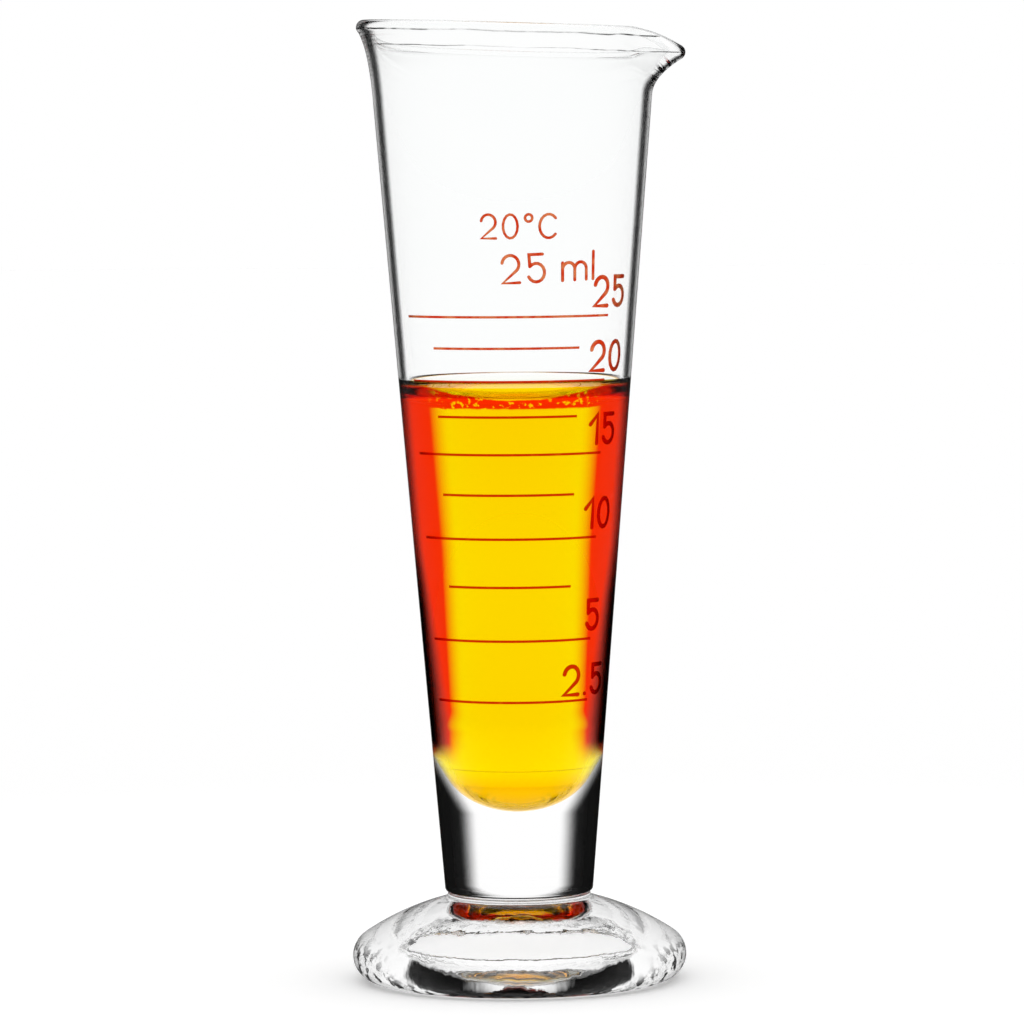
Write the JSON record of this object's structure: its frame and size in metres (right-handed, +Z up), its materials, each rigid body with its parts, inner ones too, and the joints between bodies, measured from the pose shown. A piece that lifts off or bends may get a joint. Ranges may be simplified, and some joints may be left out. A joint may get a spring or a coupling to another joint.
{
  "type": "conical glass graduate",
  "caption": "Footed conical glass measure with a solid stem, flared rim, pouring lip, fired-on enamel graduations and a coloured liquid inside.",
  "frame": {"origin": "centre of the foot's underside, on the surface that it stands on", "axes": "+Z up along the glass's axis, +X towards the pouring lip, -Y out of the face that carries the marks"},
  "size_m": [0.0435, 0.0428, 0.1229],
  "materials": {
    "glass": "clear fire-polished laboratory glass",
    "foot_glass": "clear pressed glass",
    "liquid": "clear orange liquid",
    "enamel": "fired-on vitreous enamel, satin"
  },
  "bodies": {
    "root": {"bowl": "glass", "foot": "foot_glass", "liquid": "liquid", "graduation_2_5": "enamel", "graduation_5": "enamel", "graduation_7_5": "enamel", "graduation_10": "enamel", "graduation_12_5": "enamel", "graduation_15": "enamel", "graduation_17_5": "enamel", "graduation_20": "enamel", "graduation_22_5": "enamel", "graduation_25": "enamel", "numeral_2_5": "enamel", "numeral_5": "enamel", "numeral_10": "enamel", "numeral_15": "enamel", "numeral_20": "enamel", "numeral_25": "enamel", "caption_capacity": "enamel", "caption_temperature": "enamel"}
  },
  "joints": []
}
